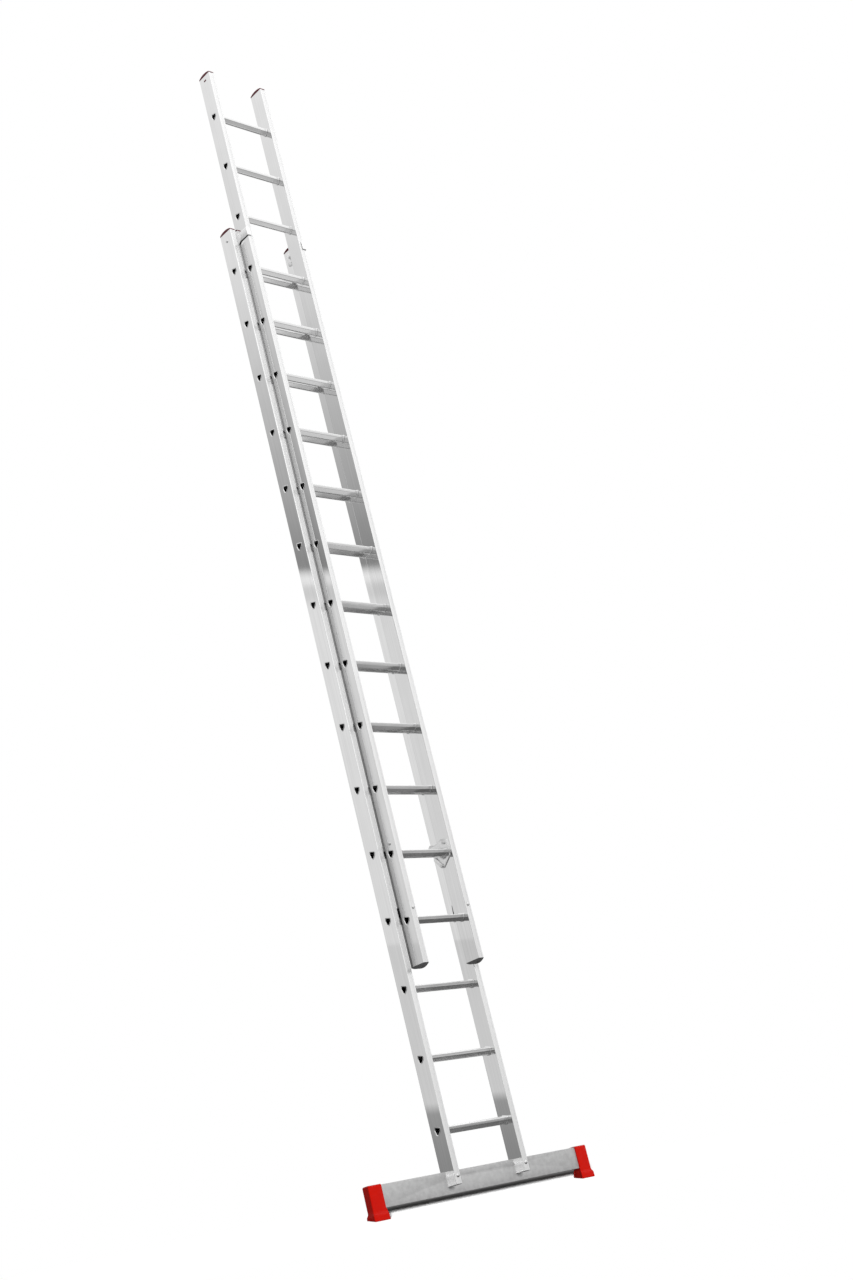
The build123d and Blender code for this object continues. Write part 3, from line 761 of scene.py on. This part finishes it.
def spread_out(tree, value, low, high):
    """Spreads the middle of a noise over the range from low to high."""
    node = tree.nodes.new("ShaderNodeMapRange")
    node.inputs["From Min"].default_value = NOISE_MIDDLE[0]
    node.inputs["From Max"].default_value = NOISE_MIDDLE[1]
    node.inputs["To Min"].default_value = low
    node.inputs["To Max"].default_value = high
    tree.links.new(value, node.inputs["Value"])
    return node.outputs["Result"]


def gap_shade_share(tree, stile):
    """Share of painted shade: 1 along the rear edge of a stile's outer face, where it runs past the base and looks
    into the shaded gap to it, 0 towards the front.

    A face is an outer one where its place and its normal have the same sign across the ladder. The
    band ends below the guide brackets.
    """
    low, high = extent(stile)
    place = tree.nodes.new("ShaderNodeTexCoord")
    outward = tree.nodes.new("ShaderNodeMath")
    outward.operation = "MULTIPLY"
    tree.links.new(facing(tree, place.outputs["Object"], ACROSS), outward.inputs[0])
    tree.links.new(facing(tree, place.outputs["Normal"], ACROSS), outward.inputs[1])
    rear = facing(tree, place.outputs["Object"], BACK)
    both = tree.nodes.new("ShaderNodeMath")
    both.operation = "MULTIPLY"
    start, full = high[1] - np.array(GAP_SHADE_PART) * (high[1] - low[1])
    tree.links.new(smooth_share(tree, outward.outputs[0], *GAP_SHADE_OUTWARD), both.inputs[0])
    tree.links.new(smooth_share(tree, rear, start, full), both.inputs[1])
    beside = tree.nodes.new("ShaderNodeMath")
    beside.operation = "MULTIPLY"
    top = extent("left_guide_bracket")[0][2]
    along = facing(tree, place.outputs["Object"], UP)
    tree.links.new(smooth_share(tree, along, top, top - GAP_SHADE_END), beside.inputs[0])
    tree.links.new(both.outputs[0], beside.inputs[1])
    return beside.outputs[0]


def aluminium(name, tones, roughness, lines, marks, relief, ribbed=0.0, bare=1.0, gap_shade_stile=None):
    """Drawn or rolled metal: tone by lines and marks, roughness by marks, fine relief by lines.

    tones are the dark and the pale grey, roughness its low and high value, lines its fineness
    and stretch, marks their scale and their share of the tone. ribbed is added to the roughness
    of faces that look to the front or the back. bare is the share of bare metal, the rest is a
    dull skin. The last argument names a stile whose outer face gets a band of painted shade
    along its rear edge, where the face looks into the shaded gap to the base.
    """
    material, tree, shader = shade(name)
    link = tree.links.new
    pattern = tree.nodes.new("ShaderNodeGroup")
    pattern.node_tree = bpy.data.node_groups["extrusion_lines"]
    pattern.inputs["Fineness"].default_value = lines[0]
    pattern.inputs["Stretch"].default_value = lines[1]
    pattern.inputs["Mark Scale"].default_value = marks[0]
    share = tree.nodes.new("ShaderNodeMix")
    share.inputs["Factor"].default_value = marks[1]
    link(pattern.outputs["Lines"], share.inputs["A"])
    link(pattern.outputs["Marks"], share.inputs["B"])
    spread = spread_out(tree, share.outputs["Result"], 0.0, 1.0)
    tone = blend(tree, spread, tones[0], tones[1])
    # Painted shade: a darker band along the rear edge of the outer face, standing in for the shaded gap to the
    # base and its dark reflection.
    if gap_shade_stile:
        tone = blend(tree, gap_shade_share(tree, gap_shade_stile), tone, GAP_SHADE_TONE)
    link(tone, shader.inputs["Base Color"])
    polish = spread_out(tree, pattern.outputs["Marks"], *roughness)
    coarse = tree.nodes.new("ShaderNodeMath")
    coarse.operation = "MULTIPLY_ADD"
    coarse.inputs[1].default_value = ribbed
    link(pattern.outputs["Ends"], coarse.inputs[0])
    link(polish, coarse.inputs[2])
    link(coarse.outputs[0], shader.inputs["Roughness"])
    bump = tree.nodes.new("ShaderNodeBump")
    bump.inputs["Strength"].default_value = relief
    bump.inputs["Distance"].default_value = LINE_RELIEF
    link(pattern.outputs["Lines"], bump.inputs["Height"])
    link(bump.outputs["Normal"], shader.inputs["Normal"])
    shader.inputs["Metallic"].default_value = bare
    if ribbed:
        shader.inputs["Anisotropic"].default_value = RIBBED_STRETCH
        shader.inputs["Anisotropic Rotation"].default_value = RIBBED_TURN
        along = tree.nodes.new("ShaderNodeCombineXYZ")
        for axis, size in zip("XYZ", UP):
            along.inputs[axis].default_value = size
        link(along.outputs["Vector"], shader.inputs["Tangent"])
    return material


def moulded_plastic(name, colour, worn, roughness, grain, gloss):
    """Moulded plastic: slow mottling towards a worn tone and a fine spark-eroded grain."""
    material, tree, shader = shade(name)
    shader.inputs["Specular IOR Level"].default_value = gloss
    link = tree.links.new
    place = tree.nodes.new("ShaderNodeTexCoord")
    cloud = tree.nodes.new("ShaderNodeTexNoise")
    cloud.inputs["Scale"].default_value = MOTTLE_SCALE
    cloud.inputs["Detail"].default_value = 5.0
    fine = tree.nodes.new("ShaderNodeTexNoise")
    fine.inputs["Scale"].default_value = GRAIN_SCALE
    fine.inputs["Detail"].default_value = 2.0
    tone = tree.nodes.new("ShaderNodeMix")
    tone.data_type = "RGBA"
    tone.inputs["A"].default_value = (*colour, 1.0)
    tone.inputs["B"].default_value = (*worn, 1.0)
    bump = tree.nodes.new("ShaderNodeBump")
    bump.inputs["Strength"].default_value = grain
    bump.inputs["Distance"].default_value = GRAIN_RELIEF
    link(place.outputs["Object"], cloud.inputs["Vector"])
    link(place.outputs["Object"], fine.inputs["Vector"])
    link(cloud.outputs["Fac"], tone.inputs["Factor"])
    link(tone.outputs["Result"], shader.inputs["Base Color"])
    polish = spread_out(tree, cloud.outputs["Fac"], roughness - WORN_SPREAD, roughness + WORN_SPREAD)
    link(polish, shader.inputs["Roughness"])
    link(fine.outputs["Fac"], bump.inputs["Height"])
    link(bump.outputs["Normal"], shader.inputs["Normal"])
    return material


def make_finishes():
    """A material for each slot of the record, one more for the fly's stiles, with painted shade along the rear
    edge of their outer faces, and one for pale plugs.

    The values are those of aluminium() and moulded_plastic(), in their order.
    """
    make_lines_group()
    stile = ((0.81, 0.92), (0.02, 0.04), (350.0, 0.004), (9.0, 0.25), 0.03, 0.42)
    metals = {
        "stile_aluminium": stile,
        # The fly's stiles take a band of painted shade along the rear edge of their outer faces.
        "fly_stile_aluminium": ((0.73, 0.85), *stile[1:], 1.0, FLY_STILES[0]),
        "rung_aluminium": ((0.72, 0.86), (0.14, 0.24), (420.0, 0.6), (14.0, 0.3), 0.03),
        "bar_aluminium": ((0.41, 0.55), (0.38, 0.50), (300.0, 0.6), (55.0, 0.7), 0.08, 0.0, 0.5),
        "bracket_aluminium": ((0.72, 0.88), (0.22, 0.36), (350.0, 0.01), (30.0, 0.4), 0.08),
        "hook_steel": ((0.74, 0.88), (0.16, 0.28), (260.0, 0.5), (60.0, 0.5), 0.08),
        "fastener_steel": ((0.55, 0.74), (0.20, 0.34), (500.0, 1.0), (120.0, 0.5), 0.05),
    }
    plastics = {
        "cap_maroon": ((0.10, 0.002, 0.010), (0.14, 0.004, 0.014), 0.42, 0.25, 0.2),
        "cap_grey": ((0.12, 0.12, 0.122), (0.17, 0.17, 0.172), 0.5, 0.25, 0.3),
        "plug_pale": ((0.50, 0.50, 0.505), (0.60, 0.60, 0.60), 0.5, 0.25, 0.3),
        "foot_red": ((0.58, 0.004, 0.001), (0.66, 0.010, 0.003), 0.42, 0.3, 0.18),
        "pad_black": ((0.015, 0.015, 0.016), (0.03, 0.03, 0.031), 0.45, 0.25, 0.3),
    }
    finishes = {name: aluminium(name, *values) for name, values in metals.items()}
    finishes.update({name: moulded_plastic(name, *values) for name, values in plastics.items()})
    return finishes


def dress_nodes(finishes):
    """Gives every CAD node the finish of its slot in the record, and the fly's stiles their own."""
    for part in frame["record"]["subparts"]:
        finish = finishes[part["material_slot"]]
        if part["node"] in FLY_STILES:
            finish = finishes["fly_stile_aluminium"]
        for holder in frame["nodes"][part["node"]].material_slots:
            holder.material = finish


# Stage

FRONT_RIGHT = (1, -1, 0)
FRONT_LEFT = (-1, -1, 0)
# Greys that metal mirrors, by elevation in degrees
REAR_LEFT_STUDIO = [
    (-10, 0.34), (-6.2, 0.37), (-5.0, 0.74), (9.9, 0.82), (10.2, 0.68), (10.5, 0.72), (10.65, 0.92),
    (10.9, 0.92), (11.0, 0.26), (13.3, 0.42), (16.7, 0.60), (20, 0.80), (30, 1.05),
]
FRONT_RIGHT_STUDIO = [
    (0, 0.45), (3, 0.45), (6, 0.56), (9, 0.68), (13, 0.80), (17, 1.02), (30, 1.28), (60, 1.5),
]
# Where the rear studio turns into the front one, by how far a direction points to the front right
STUDIO_TURN = (-0.80, -0.35)
AMBIENT = 0.025
# Floor: half its width in metres, its grey and its roughness
FLOOR_REACH = 60.0
FLOOR_WHITE = 0.8
FLOOR_ROUGHNESS = 0.9
# Where the floor keeps its shadow: stretch across the ladder, then metres from the bar
SHADOW_SHAPE = (8.0, 1.0, 1.0)
SHADOW_REACH = (0.15, 0.40)
# Greys of the floor that metal mirrors, by metres from the ladder towards the front
MIRRORED_FLOOR = [
    (-10, 0.66), (-4.1, 0.66), (-3.5, 0.34), (-0.5, 0.26), (0.4, 0.15), (1.1, 0.14), (2.1, 0.27),
    (3.0, 0.50), (4.0, 0.70), (5.0, 0.78), (7.3, 0.78), (8.2, 0.48), (10, 0.45),
]
# Lamps: direction they come from, strength, angle in degrees
KEY = ((-0.10, -0.87, 0.47), 2.4, 16.0)
FILL = ((-0.80, -0.30, 0.52), 0.5, 40.0)
BAR_LAMP = ((-0.70, -0.70, 0.12), 0.65, 20.0)
FLOOR_KEY = ((-0.70, -0.66, 0.27), 14.6, 9.0)


def make_camera():
    """The photograph's camera, looking up a little, with a small roll to the right."""
    lens = bpy.data.cameras.new("photo_camera")
    lens.sensor_fit = "VERTICAL"
    lens.sensor_height = CAMERA_SENSOR
    lens.lens = CAMERA_LENS
    camera = bpy.data.objects.new("photo_camera", lens)
    bpy.context.scene.collection.objects.link(camera)
    forward = Vector(CAMERA_AIM) - Vector(CAMERA_PLACE)
    turn = forward.to_track_quat("-Z", "Y").to_matrix() @ Matrix.Rotation(-radians(CAMERA_ROLL), 3, "Z")
    camera.matrix_world = Matrix.Translation(CAMERA_PLACE) @ turn.to_4x4()
    bpy.context.scene.camera = camera


def ramp(tree, value, stops):
    """A grey ramp over a value, by (value, grey) stops."""
    low = stops[0][0]
    high = stops[-1][0]
    share = tree.nodes.new("ShaderNodeMapRange")
    share.inputs["From Min"].default_value = low
    share.inputs["From Max"].default_value = high
    tree.links.new(value, share.inputs["Value"])
    node = tree.nodes.new("ShaderNodeValToRGB")
    tree.links.new(share.outputs["Result"], node.inputs["Fac"])
    elements = node.color_ramp.elements
    for index in (0, -1):
        grey = stops[index][1]
        elements[index].color = (grey, grey, grey, 1.0)
    for place, grey in stops[1:-1]:
        elements.new((place - low) / (high - low)).color = (grey, grey, grey, 1.0)
    return node.outputs["Color"]


def make_world():
    """White for the camera, a graded studio for reflections, a plain level for diffuse light.

    Light that metal throws on the floor sees the plain level too, so that shadows stay dark.
    """
    world = bpy.data.worlds.new("studio")
    bpy.context.scene.world = world
    world.use_nodes = True
    tree = world.node_tree
    link = tree.links.new
    direction = tree.nodes.new("ShaderNodeTexCoord").outputs["Generated"]
    tilt = tree.nodes.new("ShaderNodeMath")
    tilt.operation = "ARCSINE"
    link(facing(tree, direction, (0, 0, 1)), tilt.inputs[0])
    degrees = tree.nodes.new("ShaderNodeMath")
    degrees.operation = "DEGREES"
    link(tilt.outputs[0], degrees.inputs[0])
    rear = ramp(tree, degrees.outputs[0], REAR_LEFT_STUDIO)
    front = ramp(tree, degrees.outputs[0], FRONT_RIGHT_STUDIO)
    aside = facing(tree, direction, FRONT_RIGHT)
    mirrored = blend(tree, smooth_share(tree, aside, *STUDIO_TURN), rear, front)
    path = tree.nodes.new("ShaderNodeLightPath")
    shining = tree.nodes.new("ShaderNodeMath")
    shining.operation = "SUBTRACT"
    shining.use_clamp = True
    link(path.outputs["Is Glossy Ray"], shining.inputs[0])
    link(path.outputs["Diffuse Depth"], shining.inputs[1])
    lit = blend(tree, shining.outputs[0], AMBIENT, mirrored)
    clear = tree.nodes.new("ShaderNodeMath")
    clear.operation = "MAXIMUM"
    link(path.outputs["Is Camera Ray"], clear.inputs[0])
    link(path.outputs["Is Transmission Ray"], clear.inputs[1])
    link(blend(tree, clear.outputs[0], lit, 1.0), tree.nodes["Background"].inputs["Color"])


def away_from_feet(tree):
    """A share on Object coordinates: 0 near the bar and its feet, 1 further off, smooth between."""
    place = tree.nodes.new("ShaderNodeTexCoord")
    shrink = tree.nodes.new("ShaderNodeMapping")
    shrink.vector_type = "TEXTURE"
    shrink.inputs["Scale"].default_value = SHADOW_SHAPE
    away = tree.nodes.new("ShaderNodeVectorMath")
    away.operation = "LENGTH"
    tree.links.new(place.outputs["Object"], shrink.inputs["Vector"])
    tree.links.new(shrink.outputs["Vector"], away.inputs[0])
    return smooth_share(tree, away.outputs["Value"], *SHADOW_REACH)


def make_floor():
    """A wide pale floor at Z = 0: it keeps the shadows near the feet and is white further off.

    Light that bounces sees a studio floor instead, grey near the ladder and pale beyond.
    """
    mesh = bpy.data.meshes.new("floor")
    reach = FLOOR_REACH
    corners = [(-reach, -reach, 0), (reach, -reach, 0), (reach, reach, 0), (-reach, reach, 0)]
    mesh.from_pydata(corners, [], [(0, 1, 2, 3)])
    floor = bpy.data.objects.new("floor", mesh)
    bpy.context.scene.collection.objects.link(floor)
    material, tree, shader = shade("floor_white")
    material.cycles.emission_sampling = "NONE"
    shader.inputs["Base Color"].default_value = (FLOOR_WHITE, FLOOR_WHITE, FLOOR_WHITE, 1.0)
    shader.inputs["Roughness"].default_value = FLOOR_ROUGHNESS
    shader.inputs["Specular IOR Level"].default_value = 0.0
    link = tree.links.new
    white = tree.nodes.new("ShaderNodeEmission")
    to_camera = tree.nodes.new("ShaderNodeMixShader")
    link(away_from_feet(tree), to_camera.inputs["Fac"])
    link(shader.outputs["BSDF"], to_camera.inputs[1])
    link(white.outputs["Emission"], to_camera.inputs[2])
    place = tree.nodes.new("ShaderNodeTexCoord")
    ahead = tree.nodes.new("ShaderNodeMath")
    ahead.operation = "MAXIMUM"
    ahead.inputs[1].default_value = 0.0
    link(facing(tree, place.outputs["Object"], FRONT_LEFT), ahead.inputs[0])
    metres = tree.nodes.new("ShaderNodeMath")
    link(facing(tree, place.outputs["Object"], FRONT_RIGHT), metres.inputs[0])
    link(ahead.outputs[0], metres.inputs[1])
    mirrored = tree.nodes.new("ShaderNodeEmission")
    link(ramp(tree, metres.outputs[0], MIRRORED_FLOOR), mirrored.inputs["Color"])
    path = tree.nodes.new("ShaderNodeLightPath")
    either = tree.nodes.new("ShaderNodeMixShader")
    link(path.outputs["Is Camera Ray"], either.inputs["Fac"])
    link(mirrored.outputs["Emission"], either.inputs[1])
    link(to_camera.outputs["Shader"], either.inputs[2])
    link(either.outputs["Shader"], tree.nodes["Material Output"].inputs["Surface"])
    mesh.materials.append(material)
    return floor


def make_lamp(name, values, piece, state, shines=False):
    """A soft distant lamp that lights one piece alone or everything but it; it may shine on metal."""
    towards, strength, angle = values
    lamp = bpy.data.lights.new(name, "SUN")
    lamp.energy = strength
    lamp.angle = radians(angle)
    holder = bpy.data.objects.new(name, lamp)
    bpy.context.scene.collection.objects.link(holder)
    holder.matrix_world = Vector(towards).to_track_quat("Z", "Y").to_matrix().to_4x4()
    holder.visible_glossy = shines
    lit = bpy.data.collections.new(f"{name}_lit")
    lit.objects.link(piece)
    lit.collection_objects[0].light_linking.link_state = state
    holder.light_linking.receiver_collection = lit


# The ladder and its stage

finishes = make_finishes()
dress_nodes(finishes)
for section, count in SECTIONS.items():
    for number in range(1, count + 1):
        make_rung(section, number, finishes["rung_aluminium"])
for section in SECTIONS:
    for side in SIDES:
        make_cap(f"{section}_{side}_top_cap", finishes["cap_maroon"], section, 1)
        plastic = finishes["plug_pale" if section == "base" else "cap_grey"]
        make_cap(f"{section}_{side}_bottom_cap", plastic, section, -1)
for side in SIDES:
    make_tab(side, finishes["cap_maroon"])
    make_foot(side, finishes["foot_red"])
make_fasteners(finishes["fastener_steel"])
make_sheet_pieces(finishes)
make_world()
floor = make_floor()
make_lamp("key", KEY, floor, "EXCLUDE")
make_lamp("fill", FILL, floor, "EXCLUDE")
make_lamp("floor_key", FLOOR_KEY, floor, "INCLUDE")
make_lamp("bar_lamp", BAR_LAMP, bpy.data.objects["stabiliser_bar_rolled"], "INCLUDE", True)
make_camera()
bpy.context.scene.view_settings.view_transform = "Standard"
